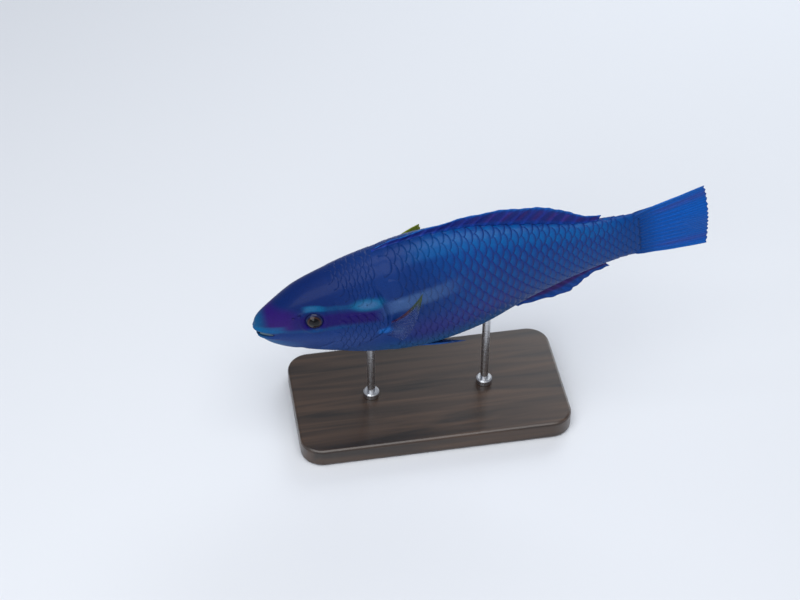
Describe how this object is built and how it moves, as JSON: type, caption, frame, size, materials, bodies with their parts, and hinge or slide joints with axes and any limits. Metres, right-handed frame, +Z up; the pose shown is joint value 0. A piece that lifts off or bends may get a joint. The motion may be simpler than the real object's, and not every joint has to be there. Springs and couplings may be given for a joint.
{
  "type": "parrotfish model on a display stand",
  "caption": "Life-size still model of a blue adult male parrotfish, nose slightly down, raised pectoral fin, on a flat base with short steel rods.",
  "frame": {"origin": "middle of the underside of the stand's base, on the floor", "axes": "+Z up; the fish's head points to -X and its tail to +X, and its left side faces -Y; the body is pitched nose down about Y"},
  "size_m": [0.2788, 0.0901, 0.1521],
  "materials": {
    "head_skin": "wet satin skin, deep blue with violet and teal bands",
    "body_skin": "wet satin scales, deep blue with violet edges",
    "beak": "polished tooth plate, pale blue-white",
    "eye": "clear wet eye over a brown iris",
    "fin": "satin membrane, blue with violet bands",
    "clear_fin": "thin clear membrane with tawny leading rays",
    "stand_wood": "dark stained hardwood, satin lacquer",
    "stand_steel": "satin ground rod"
  },
  "bodies": {
    "root": {"head": "head_skin", "lower_jaw": "head_skin", "gill_cover_left": "head_skin", "gill_cover_right": "head_skin", "beak_upper": "beak", "beak_lower": "beak", "eye_left": "eye", "eye_right": "eye", "torso": "body_skin", "tail_stalk": "body_skin", "dorsal_fin": "fin", "anal_fin": "fin", "tail_fin": "fin", "pelvic_fin_left": "fin", "pelvic_fin_right": "fin", "pectoral_fin_left": "clear_fin", "pectoral_fin_right": "clear_fin", "stand_base": "stand_wood", "stand_rod_front": "stand_steel", "stand_rod_rear": "stand_steel"}
  },
  "joints": []
}
